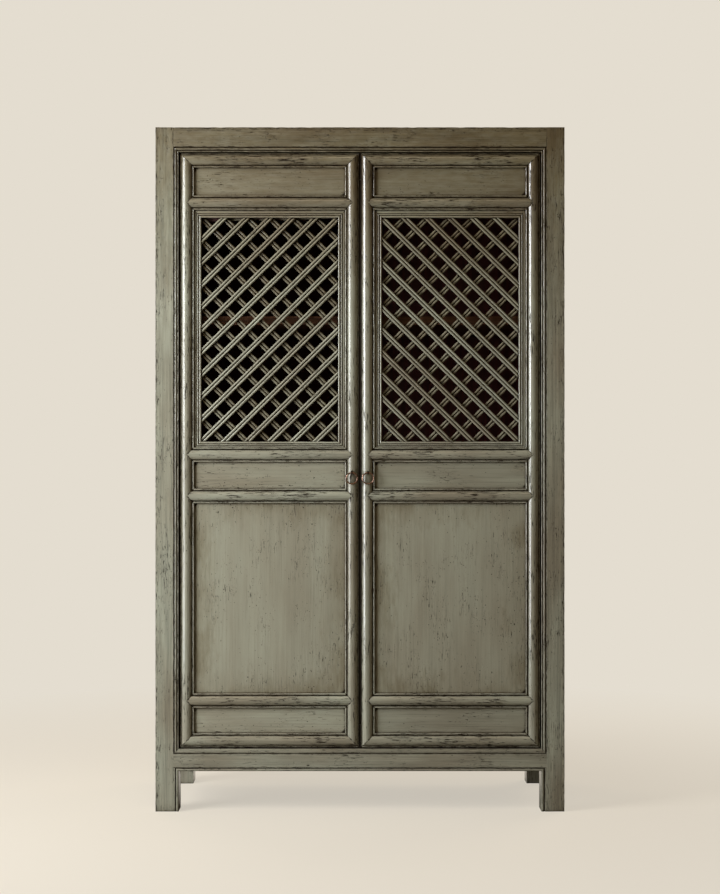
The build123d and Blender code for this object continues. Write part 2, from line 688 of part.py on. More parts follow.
def left_door():
    """Every piece of the left door, by name, in the cabinet's frame."""
    openings = door_levels()
    panel_names = {"frieze": "frieze_panel", "waist": "waist_panel", "main": "main_panel", "base": "base_panel"}
    rail_spans = {
        "frieze_rail": (openings["lattice"][1], openings["frieze"][0]),
        "upper_waist_rail": (openings["waist"][1], openings["lattice"][0]),
        "lower_waist_rail": (openings["main"][1], openings["waist"][0]),
        "base_rail": (openings["base"][1], openings["main"][0]),
    }
    rails = {name: pointed_rail(*span) for name, span in rail_spans.items()}
    rails["top_rail"] = corner_rail(openings["frieze"][1], 1)
    rails["bottom_rail"] = corner_rail(openings["base"][0], -1)

    panels = {name: door_panel(*openings[opening]) for opening, name in panel_names.items()}
    grooves = [door_panel(*openings[opening], PANEL_EXPANSION) for opening in panel_names]
    outer = run_up(edge_section(), panel_left, -1, door_bottom, door_top)
    meeting = run_up(edge_section(), panel_right, 1, door_bottom, door_top)
    for rail, seat in rails.values():
        outer = outer - seat - rail
        meeting = meeting - seat - rail
    pieces = {name: rail for name, (rail, seat) in rails.items()}
    pieces |= {"outer_stile": outer, "meeting_stile": meeting}
    for name in pieces:
        for groove in grooves:
            pieces[name] -= groove

    x, height, out = pull_place()
    bore = Cylinder(STAPLE_SHANK / 2 + STAPLE_BORE_CLEARANCE, 2 * (DOOR_THICKNESS + out))
    pieces["meeting_stile"] -= Pos(x, height, 0) * bore

    low, high = openings["lattice"]
    pieces |= panels
    pieces["lattice_frame"] = lattice_frame(low, high)
    pieces["lattice_front_bars"] = lattice_bars(low, high, 1, -BAR_DROP)
    pieces["lattice_back_bars"] = lattice_bars(low, high, -1, -BAR_DROP - BAR_THICKNESS)
    pieces |= {"pull_staple": staple(), "pull_ring": ring()}
    placed = {name: DOORS * piece for name, piece in pieces.items()}
    placed["outer_stile"] += pivot_pins()
    return placed


def main():
    """Writes one STEP file for each piece."""
    os.makedirs("parts", exist_ok=True)
    pieces = carcass()
    for name, piece in left_door().items():
        pieces["left_" + name] = piece
        pieces["right_" + name] = mirrored(piece)
    for name, piece in pieces.items():
        export_step(piece, f"parts/{name}.step")


main()
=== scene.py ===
import json
from math import hypot, radians

import bmesh
import bpy
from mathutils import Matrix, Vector, noise
from mathutils.bvhtree import BVHTree


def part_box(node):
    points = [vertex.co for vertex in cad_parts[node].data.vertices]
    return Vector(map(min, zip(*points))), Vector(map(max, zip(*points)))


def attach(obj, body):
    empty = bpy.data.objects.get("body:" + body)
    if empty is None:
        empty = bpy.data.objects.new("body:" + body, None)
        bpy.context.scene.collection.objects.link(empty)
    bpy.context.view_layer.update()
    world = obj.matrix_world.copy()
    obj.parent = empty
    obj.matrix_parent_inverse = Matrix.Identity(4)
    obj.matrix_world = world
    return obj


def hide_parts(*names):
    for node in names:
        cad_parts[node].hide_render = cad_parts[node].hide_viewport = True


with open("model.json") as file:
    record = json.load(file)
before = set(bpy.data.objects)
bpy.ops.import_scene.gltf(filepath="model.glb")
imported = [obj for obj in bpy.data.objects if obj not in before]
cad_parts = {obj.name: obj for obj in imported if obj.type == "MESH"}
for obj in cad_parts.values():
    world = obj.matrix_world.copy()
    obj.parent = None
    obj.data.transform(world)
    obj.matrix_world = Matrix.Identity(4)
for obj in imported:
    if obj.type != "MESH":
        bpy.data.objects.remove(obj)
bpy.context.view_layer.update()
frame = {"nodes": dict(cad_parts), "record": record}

nodes = frame["nodes"]
behaviour = frame["record"]["behaviour"]
body_of = {node: body for body, members in behaviour["bodies"].items() for node in members}


# Posts. Four square elm posts run from the floor to the top and carry everything. Their arrises and beads
# were planed by hand. The wood was primed dark, brushed along its grain with sage green milk paint, glazed
# brown in the hollows, rubbed through at the edges and waxed. Its paint also carries painted shade in the
# hollows and towards the top and the right.

SAGE_PALE = "#9FA08D"
SAGE_DEEP = "#88826F"
# brown of the glaze, also used for painted shade in hollows
BROWN_GLAZE_AND_SHADE = "#3D2C12"
# the primer, also the colour of the painted dark lines of shade in the sharpest hollows and beside the
# doors' gap
DARK_PRIMER_AND_SHADE = "#1C1006"
# pale dry paint on the arrises, which also stands for a painted highlight along them
DRY_PAINT_AND_HIGHLIGHT = "#BDBBA8"
# the brown tint of the painted shade towards the top and the right
TOP_RIGHT_SHADE_TINT = "#BDAF99"
# brown of an oily film, also used as painted shade at panel borders and on the back lattice bars
FILM_AND_SHADE_BROWN = "#A8946E"
LACQUER_DEEP = "#38100C"
LACQUER_BRIGHT = "#571B13"
LACQUER_SCUFFED = "#5A3A24"
# nearly black painted shade in the lacquer's hollows
LACQUER_SHADE = "#120907"

UPRIGHT = (0, 0, 0)  # directions of the grain, as turns of a pattern that runs up
LEVEL = (0, radians(90), 0)
DEEP = (radians(90), 0, 0)
X, Y, Z = (1, 0, 0), (0, 1, 0), (0, 0, 1)

TOP_SHADE_HEIGHTS = (1.28, 1.90)  # from the floor: where painted shade starts to darken the paint, and is strongest
OUTER_RIM = (0.526, 0.547)  # from the middle: where the knocked rim of the face starts, and is worst
UPPER_RIM = (1.818, 1.837)  # the same from the floor, for the upper edge
DOOR_GAP_SHADE = (0.0054, 0.0032)  # from the middle: where painted shade starts beside the gap of the doors, and is darkest

SLICE = 0.010  # a hand-planed edge is straight over about this length
ARRIS = 0.0009  # how far the sharp edges are rounded by handling
WANDER = 0.00018  # how far planed surfaces wander from true
WANDERS = 14, 55  # long and short waves of the wander, per metre
NICK = 0.0010  # depth of the deepest nicks in an arris
NICKS = 48, 130  # wide and narrow nicks, per metre
PIN_REACH = 0.009  # a little more than the radius of a door pin's socket
IN_TOUCH = 0.0003  # pieces this close to each other are jointed

# Where the lacquered faces lie: the backs of the doors, the inside of the back and of the sides
DOOR_BACKS = (-0.2235, -0.15)
BACK_FROM, BACK_HALF_WIDTH = 0.1, 0.53
SIDE_FROM, SIDE_HALF_WIDTH = -0.2, 0.532
INSIDE_HEIGHTS = (0.15, 1.83)

AS_COLORS = {"output": 2, "data_type": "RGBA"}  # for a Mix node that mixes colours
AS_TINT = AS_COLORS | {"blend_type": "MULTIPLY"}


def srgb(text):
    """A colour written as sRGB hex, as linear values with an alpha of 1."""
    parts = [int(text[i:i + 2], 16) / 255 for i in (1, 3, 5)]
    return (*[p / 12.92 if p <= 0.04045 else ((p + 0.055) / 1.055) ** 2.4 for p in parts], 1)


class Finish:
    """A material under construction: its nodes, and the patterns and wear that the finishes share."""

    def __init__(self, name, grain=UPRIGHT, owner=None):
        self.material = owner or bpy.data.materials.new(name)
        self.material.use_nodes = True
        self.tree = self.material.node_tree
        self.tree.nodes.clear()
        self.grain = grain
        self.place = self.add("TexCoord", output="Object")

    def add(self, kind, *inputs, output=0, **settings):
        """Adds a shader node with its settings, and gives one of its outputs. Inputs come in the order of
        the node's sockets, or in a dict. Each is a value, or an output of another node to link."""
        made = self.tree.nodes.new("ShaderNode" + kind)
        for name, value in settings.items():
            setattr(made, name, value)
        sockets = inputs[0] if inputs and isinstance(inputs[0], dict) else dict(enumerate(inputs))
        for socket, value in sockets.items():
            if isinstance(value, bpy.types.NodeSocket):
                self.tree.links.new(value, made.inputs[socket])
            else:
                made.inputs[socket].default_value = value
        return made.outputs[output] if made.outputs else None

    def pattern(self, across_mm, along_mm, detail=2, rough=0.5):
        """Noise with real sizes across and along the grain, from 0 to 1."""
        size = (across_mm / 1000, across_mm / 1000, along_mm / 1000)
        turned = self.add("Mapping", {"Vector": self.place, "Rotation": self.grain, "Scale": size},
                          vector_type="TEXTURE")
        return self.add("TexNoise", {"Vector": turned, "Scale": 1.0, "Detail": detail, "Roughness": rough})

    def mm_along(self):
        """The place along the grain, in mm."""
        turned = self.add("Mapping", {"Vector": self.place, "Rotation": self.grain,
                                      "Scale": (0.001, 0.001, 0.001)}, vector_type="TEXTURE")
        return self.add("SeparateXYZ", turned, output="Z")

    def turned_to(self, axis):
        """1 on a face across an axis of the world, 0 on a face along it."""
        normal = self.add("NewGeometry", output="Normal")
        toward = self.add("SeparateXYZ", normal, output=axis)
        toward = self.add("Math", toward, operation="ABSOLUTE")
        return self.add("MapRange", toward, 0.3, 0.6)

    def most(self, *values):
        """The largest of several values."""
        top = values[0]
        for value in values[1:]:
            top = self.add("Math", top, value, operation="MAXIMUM")
        return top

    def shade(self, color, value):
        """Makes a colour lighter or darker by a factor."""
        grey = self.add("CombineColor", value, value, value)
        return self.add("Mix", {0: 1.0, 6: color, 7: grey}, **AS_TINT)

    def hollow(self, reach_mm):
        """1 in the open, towards 0 in a hollow narrower than twice the reach."""
        return self.add("AmbientOcclusion", {"Distance": reach_mm / 1000}, output="AO", samples=6)

    def arris(self, radius_mm):
        """1 on a sharp edge, towards 0 at about the radius from it."""
        rounded = self.add("Bevel", {"Radius": radius_mm / 1000}, samples=4)
        flat = self.add("NewGeometry", output="Normal")
        turn = self.add("VectorMath", rounded, flat, output="Value", operation="DOT_PRODUCT")
        return self.add("MapRange", turn, 0.99, 0.86)

    def finished(self, color, rough, height, depth_mm, **sockets):
        """Joins the colour, roughness and relief to the shader, and gives the material."""
        bump = self.add("Bump", {"Strength": 1.0, "Distance": depth_mm / 1000, "Height": height})
        inputs = {"Base Color": color, "Roughness": rough, "Normal": bump}
        inputs |= {name.replace("_", " "): value for name, value in sockets.items()}
        shader = self.add("BsdfPrincipled", inputs)
        self.add("OutputMaterial", shader)
        return self.material


def milk_paint(name, grain, wear=1.0, grime_and_shade=0.0, streaks=1.0, smudge_and_shade=0.0, tone=1.0, border_shade=0.0,
               gap_shading=0.0, gloss=1.5):
    """Milk paint, brushed, glazed and rubbed back. Streaks and dry dashes follow the grain, hollows are
    painted nearly black as shade, the arrises get pale dry paint that is also a painted highlight, and the
    wax gives a narrow bright sheen that breaks up along the brush marks. A piece can have more wear, more
    grime and painted shade, streaks or tone, where tone is also painted light, painted shade at the borders
    of a panel and beside the gap of the doors, and a glossier wax."""
    paint = Finish(name, grain)
    node = paint.add
    brush = paint.pattern(4, 180, 4)  # marks of clumped bristles
    fine = paint.pattern(0.9, 60, 3)  # marks of single bristles, drawn three times as wide so that they show
    grit = paint.pattern(1.3, 3.2, 2)  # pigment grit, drawn coarse enough to show
    across = node("SeparateXYZ", paint.place, output="X")
    height = node("SeparateXYZ", paint.place, output="Z")
    open_edge = node("Attribute", output="Fac", attribute_name="open_edge")
    open_joint = node("Attribute", output="Fac", attribute_name="open_joint")

    # Colour: clouds of the two sages a hand's width across, bands as wide as a brush, light and dark brush
    # marks, and pale dry paint on the arrises, which is also a painted highlight along them
    uneven = 0.5 * min(1.0, streaks)
    cloud = node("MapRange", paint.pattern(90, 320, 3), 0.35, 0.65, 0.5 - uneven, 0.5 + uneven)
    color = node("Mix", {0: cloud, 6: srgb(SAGE_DEEP), 7: srgb(SAGE_PALE)}, **AS_COLORS)
    band = node("MapRange", paint.pattern(15, 330, 2), 0.35, 0.65, -0.07 * streaks, 0.07 * streaks)
    mark = node("MapRange", brush, 0.3, 0.7, 1.0 - 0.12 * streaks, 1.0 + 0.12 * streaks)
    bristle = node("MapRange", fine, 0.3, 0.7, -0.06 * streaks, 0.06 * streaks)
    light = node("Math", mark, bristle, operation="ADD")
    light = node("Math", light, band, operation="ADD")
    # Tone brightens a whole copy of the paint; where it is set per side of the cabinet it is painted light
    color = paint.shade(color, node("Math", light, tone, operation="MULTIPLY"))
    arris = paint.arris(4.5)
    dry_and_highlight = node("Math", node("MapRange", arris, 0.1, 0.8), open_edge, operation="MULTIPLY")
    dry_and_highlight = node("Math", dry_and_highlight, 0.45, operation="MULTIPLY")
    color = node("Mix", {0: dry_and_highlight, 6: color, 7: srgb(DRY_PAINT_AND_HIGHLIGHT)}, **AS_COLORS)

    # Glaze and painted shade: painted shade that darkens the paint towards the top and the right, an oily
    # film with painted shade at the borders of a panel, brown glaze with painted shade in hollows up to 70
    # mm wide, a darker painted shadow in those under 20 mm and a painted dark line in the sharpest. Wiping
    # left them ragged.
    broken = node("MapRange", paint.pattern(9, 34, 4, 0.62), 0.3, 0.7, -0.24, 0.24)
    top_right_shade = node("Math", broken, 0.5, height, operation="MULTIPLY_ADD")
    top_right_shade = node("Math", across, 0.15, top_right_shade, operation="MULTIPLY_ADD")
    color = node("Mix", {0: node("MapRange", top_right_shade, *TOP_SHADE_HEIGHTS), 6: color, 7: srgb(TOP_RIGHT_SHADE_TINT)}, **AS_TINT)
    # More grime and painted shade tint the whole paint brown
    color = node("Mix", {0: max(0.0, 4 * grime_and_shade), 6: color, 7: srgb(FILM_AND_SHADE_BROWN)}, **AS_TINT)
    # Painted shade with an oily film darkens a panel towards its borders
    if border_shade:
        inset = node("Attribute", output="Fac", attribute_name="inset")
        inset = node("Math", broken, 0.10, inset, operation="MULTIPLY_ADD")
        border_film_and_shade = node("Math", node("MapRange", inset, 0.075, 0.012), border_shade, operation="MULTIPLY")
        patchy = node("MapRange", paint.pattern(90, 90, 1), 0.38, 0.58, 0.35, 1.0)
        border_film_and_shade = node("Math", border_film_and_shade, patchy, operation="MULTIPLY")
        color = node("Mix", {0: border_film_and_shade, 6: color, 7: srgb(FILM_AND_SHADE_BROWN)}, **AS_TINT)
    more_grime_and_shade = grime_and_shade + smudge_and_shade
    # Brown glaze with painted shade: a veil in hollows up to 70 mm wide, a darker painted shadow in those
    # under 20 mm
    wide = node("Math", paint.hollow(36), broken, operation="ADD")
    veil = node("MapRange", wide, 0.74 + more_grime_and_shade, 0.10 + more_grime_and_shade)
    veil = node("Math", veil, 0.62, operation="MULTIPLY")
    near = node("Math", broken, 0.3, paint.hollow(9), operation="MULTIPLY_ADD")
    shadow = node("MapRange", near, 0.85 + grime_and_shade, 0.48)
    shadow = node("Math", shadow, 0.90, operation="MULTIPLY")
    glaze_and_shade = paint.most(veil, shadow)
    color = node("Mix", {0: glaze_and_shade, 6: color, 7: srgb(BROWN_GLAZE_AND_SHADE)}, **AS_COLORS)
    # A painted dark line of shade in the sharpest hollows, in the colour of the primer
    line = node("MapRange", near, 0.57, 0.33)

    # Where the wear crowds: in patches, beside mouldings and along the rim of the face
    patch = node("MapRange", paint.pattern(60, 130, 2), 0.38, 0.60)
    beside = node("MapRange", paint.hollow(26), 0.97, 0.78)
    beside = node("Math", beside, 0.9, operation="MULTIPLY")
    aside = node("Math", across, operation="ABSOLUTE")
    outer = node("MapRange", aside, *OUTER_RIM)
    outer = node("Math", outer, paint.turned_to("X"), operation="SUBTRACT")
    upper = node("MapRange", height, *UPPER_RIM)
    upper = node("Math", upper, paint.turned_to("Z"), operation="SUBTRACT")
    rim = paint.most(outer, upper, 0.0)
    crowd = paint.most(patch, beside, node("Math", rim, 1.15, operation="MULTIPLY"))

    # Primer shows in dry dashes 2 to 3 mm wide and hairlines half as wide, in pits, in rows of ticks 4 mm
    # apart where a plane chattered, on rubbed and chipped arrises and in open joints. Its dark colour also
    # paints shade in the sharpest hollows and beside the gap where the doors meet.
    often = 0.755 - 0.035 * wear
    dash = node("Math", crowd, 0.12, paint.pattern(2.5, 26, 4, 0.62), operation="MULTIPLY_ADD")
    dash = node("MapRange", dash, often, 0.035 + often)
    hair = node("Math", crowd, 0.09, paint.pattern(1.1, 46, 3, 0.6), operation="MULTIPLY_ADD")
    hair = node("MapRange", hair, 0.71 - 0.02 * wear, 0.76)
    hair = node("Math", hair, 0.7, operation="MULTIPLY")
    pit = node("Math", crowd, 0.06, paint.pattern(3.4, 5.5, 1), operation="MULTIPLY_ADD")
    pit = node("MapRange", pit, 0.77, 0.80)
    wave = node("Math", broken, 9, paint.mm_along(), operation="MULTIPLY_ADD")
    wave = node("Math", wave, 1.45, operation="MULTIPLY")
    tick = node("MapRange", node("Math", wave, operation="SINE"), 0.1, 0.8)
    chatter = node("MapRange", paint.pattern(7, 70, 2), often, 0.77)
    tick = node("Math", tick, chatter, operation="MULTIPLY")
    chip = node("Math", rim, 0.03, paint.pattern(5, 18, 3, 0.6), operation="MULTIPLY_ADD")
    chip = node("Math", paint.arris(11), node("MapRange", chip, 0.58, 0.62), operation="MULTIPLY")
    rub = node("MapRange", paint.pattern(5, 26, 4, 0.65), 0.42, 0.54)
    rubbed = paint.most(node("Math", arris, rub, operation="MULTIPLY"), chip)
    rubbed = node("Math", rubbed, node("MapRange", open_edge, 0.8, 1.0), operation="MULTIPLY")
    rubbed = node("Math", rubbed, min(1.0, wear), operation="MULTIPLY")
    filled = node("MapRange", paint.pattern(8, 14, 2), 0.36, 0.50, 0.35, 1.0)
    seam = node("Math", node("MapRange", open_joint, 0.60, 0.85), filled, operation="MULTIPLY")
    # Painted shade beside the gap where the doors meet
    gap_shadow = node("Math", node("MapRange", aside, *DOOR_GAP_SHADE), gap_shading, operation="MULTIPLY")
    wear_and_shade = paint.most(dash, hair, pit, tick, rubbed, line, seam, gap_shadow)
    bare_and_shade = node("Math", wear_and_shade, 0.92, operation="MULTIPLY")
    color = node("Mix", {0: bare_and_shade, 6: color, 7: srgb(DARK_PRIMER_AND_SHADE)}, **AS_COLORS)

    # Relief of the brush marks, of lumps 7 mm wide and of grit in the paint, and the wax, which worn and
    # glazed places and places of painted shade lack
    relief = node("Math", brush, 0.30, operation="MULTIPLY")
    relief = node("Math", fine, 0.12, relief, operation="MULTIPLY_ADD")
    relief = node("Math", paint.pattern(7, 18, 3), 0.40, relief, operation="MULTIPLY_ADD")
    relief = node("Math", grit, 0.06, relief, operation="MULTIPLY_ADD")
    relief = node("Math", wear_and_shade, -0.35, relief, operation="MULTIPLY_ADD")
    dull = paint.most(wear_and_shade, glaze_and_shade)
    rough = node("MapRange", brush, 0.3, 0.7, 0.26, 0.36)
    rough = node("Math", dull, 0.3, rough, operation="MULTIPLY_ADD")
    wax = node("Math", node("Math", 1.0, dull, operation="SUBTRACT"), 0.85, operation="MULTIPLY")
    sheen = node("Math", dull, -0.28, 0.36, operation="MULTIPLY_ADD")
    return paint.finished(color, rough, relief, 0.6, IOR=1.5, Specular_IOR_Level=sheen, Coat_Weight=wax,
                          Coat_Roughness=0.15, Coat_IOR=gloss)


def red_lacquer(name, grain):
    """Old red-brown lacquer, thin and dull, over sawn boards. The saw and plane marks show through it."""
    coat = Finish(name, grain)
    streak = coat.pattern(7, 240, 4)  # marks of the saw and the plane
    fine = coat.pattern(1.2, 70, 3)  # pores, drawn wider than they are so that they show
    bright = coat.add("MapRange", streak, 0.3, 0.7)
    color = coat.add("Mix", {0: bright, 6: srgb(LACQUER_DEEP), 7: srgb(LACQUER_BRIGHT)}, **AS_COLORS)
    scuff = coat.add("MapRange", coat.pattern(14, 60, 4, 0.65), 0.60, 0.72)
    scuff = coat.add("Math", scuff, 0.4, operation="MULTIPLY")
    color = coat.add("Mix", {0: scuff, 6: color, 7: srgb(LACQUER_SCUFFED)}, **AS_COLORS)
    # Painted shade: the lacquer darkens to nearly black in hollows up to 80 mm wide
    grime_and_shade = coat.add("MapRange", coat.hollow(40), 0.75, 0.2)
    grime_and_shade = coat.add("Math", grime_and_shade, 0.7, operation="MULTIPLY")
    color = coat.add("Mix", {0: grime_and_shade, 6: color, 7: srgb(LACQUER_SHADE)}, **AS_COLORS)
    relief = coat.add("Math", streak, 0.5, operation="MULTIPLY")
    relief = coat.add("Math", fine, 0.3, relief, operation="MULTIPLY_ADD")
    rough = coat.add("MapRange", streak, 0.3, 0.7, 0.42, 0.62)
    return coat.finished(color, rough, relief, 0.5, IOR=1.5)


trees, boxes = {}, {}
for name, node in nodes.items():
    points = [vertex.co for vertex in node.data.vertices]
    trees[name] = BVHTree.FromPolygons(points, [list(face.vertices) for face in node.data.polygons])
    boxes[name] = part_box(name)
pivots = [joint["pos_m"] for joint in behaviour["joints"] if joint["child"].endswith("_door")]


def touches(point, name, within=IN_TOUCH):
    """Whether another piece's surface lies this close to a point."""
    for other, (low, high) in boxes.items():
        near = all(low[i] - within <= point[i] <= high[i] + within for i in range(3))
        if near and other != name and trees[other].find_nearest(point, within)[0] is not None:
            return True
    return False


def on_a_pivot(point):
    """Whether a point lies on a door's wooden pin or in its socket. Both stay true, so the door turns."""
    beyond_door = not boxes["left_bottom_rail"][0].z < point.z < boxes["left_top_rail"][1].z
    return beyond_door and any(hypot(point.x - x, point.y - y) < PIN_REACH for x, y, _ in pivots)


def cut_into_slices(mesh, direction, length):
    """Cuts across a mesh at equal steps, so that it can take the small errors of hand work."""
    direction = Vector(direction).normalized()
    reaches = [vertex.co.dot(direction) for vertex in mesh.verts]
    count = int((max(reaches) - min(reaches)) / length)
    for step in range(1, count):
        at = min(reaches) + (max(reaches) - min(reaches)) * step / count
        everything = mesh.verts[:] + mesh.edges[:] + mesh.faces[:]
        bmesh.ops.bisect_plane(mesh, geom=everything, dist=1e-6, plane_co=direction * at,
                               plane_no=direction)


def exposed_arrises(mesh, name):
    """The long square edges that no other piece covers."""
    found = []
    for edge in mesh.edges:
        square = len(edge.link_faces) == 2 and edge.calc_face_angle_signed() > radians(55)
        if square and edge.calc_length() > 0.02:
            ends = edge.verts[0].co, edge.verts[1].co
            if not any(touches(ends[0].lerp(ends[1], share), name) for share in (0.1, 0.5, 0.9)):
                found.append(edge)
    return found


def faces_inside(center, normal):
    """Whether a face looks into the cabinet, where the wood is lacquered and not painted."""
    aside = abs(center.x)
    on_door = normal.y > 0.6 and DOOR_BACKS[0] < center.y < DOOR_BACKS[1]
    on_back = normal.y < -0.6 and center.y > BACK_FROM and aside < BACK_HALF_WIDTH
    inward = normal.x * center.x < 0 and abs(normal.x) > 0.6
    on_side = inward and center.y > SIDE_FROM and aside < SIDE_HALF_WIDTH
    return INSIDE_HEIGHTS[0] < center.z < INSIDE_HEIGHTS[1] and (on_door or on_back or on_side)


def worn_shift(place, normal, handled):
    """How far use and hand planing moved a point: a little wander everywhere, nicks on handled arrises."""
    shift = noise.noise_vector(place * WANDERS[0]) * WANDER
    shift += noise.noise_vector(place * WANDERS[1]) * WANDER * 0.35
    if handled:
        bite = max(0.0, noise.noise(place * NICKS[0]) - 0.12) + max(0.0, noise.noise(place * NICKS[1]) - 0.3)
        shift -= normal * bite * NICK * 2
    return Vector((0, 0, 0)) if on_a_pivot(place) else shift


def hand_worked(name, outside, inside, directions, flush_joints=False, length=SLICE, uprights=None):
    """The visible form of a wooden piece: the planned shape with rounded arrises, surfaces that wander as
    planed wood does, and nicks along its edges. It stands for the CAD piece of that name. The upright
    members of a mitred frame can have a paint of their own."""
    mesh = bmesh.new()
    mesh.from_mesh(nodes[name].data)
    bmesh.ops.remove_doubles(mesh, verts=mesh.verts, dist=2e-6)
    bmesh.ops.dissolve_limit(mesh, angle_limit=radians(0.4), verts=mesh.verts[:], edges=mesh.edges[:])
    handled = mesh.verts.layers.float.new("handled")
    arrises = exposed_arrises(mesh, name)
    rounded = bmesh.ops.bevel(mesh, geom=arrises, offset=ARRIS, segments=2, profile=0.5, affect="EDGES",
                              clamp_overlap=True)
    for vertex in rounded["verts"]:
        vertex[handled] = 1.0
    for direction in directions:
        cut_into_slices(mesh, direction, length)

    open_edge = mesh.verts.layers.float.new("open_edge")
    open_joint = mesh.verts.layers.float.new("open_joint")
    inset = mesh.verts.layers.float.new("inset")
    mesh.normal_update()
    low, high = boxes[name]
    for vertex in mesh.verts:
        place = vertex.co.copy()
        joined = touches(place, name)
        vertex[open_edge] = 0.0 if joined else 1.0
        vertex[open_joint] = 1.0 if joined and not flush_joints else 0.0
        vertex[inset] = min(place.x - low.x, high.x - place.x, place.z - low.z, high.z - place.z)
        shift = worn_shift(place, vertex.normal, vertex[handled] > 0.9)
        vertex.co = [min(max(place[i] + shift[i], low[i]), high[i]) for i in range(3)]

    covered = set()
    for face in mesh.faces:
        face.smooth = True
        center = face.calc_center_median()
        if all(vertex[open_edge] == 0.0 for vertex in face.verts) and touches(center, name, 2 * IN_TOUCH):
            covered.add(face)
        to_side = min(center.x - low.x, high.x - center.x)
        to_level = min(center.z - low.z, high.z - center.z)
        face.material_index = 1 if faces_inside(center, face.normal) else 0
        if uprights and to_side < to_level and face.material_index == 0:
            face.material_index = 2
    for edge in mesh.edges:
        seam = len(covered.intersection(edge.link_faces)) == 1
        edge.smooth = len(edge.link_faces) == 2 and edge.calc_face_angle() < radians(48) and not seam

    data = bpy.data.meshes.new(name + "_wood")
    mesh.to_mesh(data)
    mesh.free()
    data.materials.append(outside)
    data.materials.append(inside)
    if uprights:
        data.materials.append(uprights)
    piece = bpy.data.objects.new(name + "_wood", data)
    even = piece.modifiers.new("even_shading", "WEIGHTED_NORMAL")
    even.mode = "FACE_AREA"
    even.keep_sharp = True
    bpy.context.scene.collection.objects.link(piece)
    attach(piece, body_of[name])
    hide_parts(name)


paint_upright = milk_paint("sage_milk_paint_brushed_upright", UPRIGHT, wear=1.5, streaks=1.7)
lacquer_upright = red_lacquer("dark_red_lacquer_upright", UPRIGHT)
for corner in ("front_left", "front_right", "back_left", "back_right"):
    hand_worked(f"{corner}_post", paint_upright, lacquer_upright, [Z], flush_joints=True)


# Rails of the carcass. They are tenoned into the posts, with beads mitred at the corners. The joints were
# filled and painted over, so no line shows where a rail meets a post.

paint_level = milk_paint("sage_milk_paint_brushed_level", LEVEL, wear=1.6, streaks=1.5)
paint_deep = milk_paint("sage_milk_paint_brushed_deep", DEEP, wear=1.5)
lacquer_level = red_lacquer("dark_red_lacquer_level", LEVEL)
for name in ("top_front_rail", "bottom_front_rail", "top_back_rail", "bottom_back_rail"):
    hand_worked(name, paint_level, lacquer_level, [X], flush_joints=True)
for name in ("top_left_rail", "top_right_rail", "bottom_left_rail", "bottom_right_rail"):
    hand_worked(name, paint_deep, lacquer_level, [Y], flush_joints=True)


# Panels and boards of the carcass. Thin boards float in grooves of the posts and rails. They are painted on
# the sides and the top, and lacquered on the back and inside, as are the battens, bearers and stop blocks.

BROAD_SLICE = 0.03  # a wide board was planed in longer strokes


def finish_with(material, *names):
    """Gives CAD pieces a material."""
    for name in names:
        nodes[name].data.materials.clear()
        nodes[name].data.materials.append(material)


for name in ("left_side_panel", "right_side_panel"):
    hand_worked(name, paint_upright, lacquer_upright, [Z, Y], flush_joints=True, length=BROAD_SLICE)
finish_with(paint_level, "top_board")
finish_with(lacquer_level, "back_middle_rail", "floor_board", "top_battens", "door_stops", "shelf_bearers")
finish_with(lacquer_upright, "back_upper_panel", "back_lower_panel")


# Shelves. Loose fir boards with a bare front edge, laid on bearers. They were never painted: the wood has
# darkened, and broad growth rings and fine pores run along it, which leaves it dull and faintly striped.

shelf = Finish("old_fir_board", LEVEL)
ring = shelf.pattern(5, 300, 3)
pore = shelf.pattern(0.8, 40, 3)  # drawn wider than real pores so that they show
wood = shelf.add("MapRange", ring, 0.35, 0.65)
wood = shelf.add("Mix", {0: wood, 6: srgb("#4A2A14"), 7: srgb("#6E4423")}, **AS_COLORS)
wood = shelf.shade(wood, shelf.add("MapRange", pore, 0.3, 0.7, 0.85, 1.1))
rough = shelf.add("MapRange", ring, 0.3, 0.7, 0.5, 0.65)
fir = shelf.finished(wood, rough, pore, 0.3, IOR=1.5)
finish_with(fir, "upper_shelf", "middle_shelf", "lower_shelf")


# Door frames. Stiles and rails are moulded with a round between two beads. Rails end in points let into the
# stiles, where glaze has settled in the joints. The right-hand stiles are waxed to a higher gloss.

WAX, GLOSSY_WAX = 1.5, 1.85  # how strongly the coat of wax refracts light, and so reflects it

worn_level = milk_paint("sage_milk_paint_rubbed_level", LEVEL, wear=2.7, tone=1.13)
# The stiles get painted shade beside the gap where the doors meet.
for side, gloss in (("left", WAX), ("right", GLOSSY_WAX)):
    worn_upright = milk_paint(f"sage_milk_paint_rubbed_{side}_upright", UPRIGHT, wear=2.1, tone=1.04,
                              gap_shading=0.95, gloss=gloss)
    for part in ("outer_stile", "meeting_stile"):
        hand_worked(f"{side}_{part}", worn_upright, lacquer_upright, [Z])
    for part in ("top", "frieze", "upper_waist", "lower_waist", "base", "bottom"):
        hand_worked(f"{side}_{part}_rail", worn_level, lacquer_level, [X])


# Door panels. Single boards, flat on the face, held in grooves and slightly uneven after years of drying.
# Their paint is the best kept of the cabinet, calm and pale, with an oily film and painted shade towards the
# borders, and painted lighter on the left door, where more light falls.

PANEL_SLICE = 0.02
PANEL_LIGHT_AND_TONES = {"left": (1.18, 1.16), "right": (1.14, 1.01)}  # of the upright board and of the level ones; the left door's are lighter as painted light

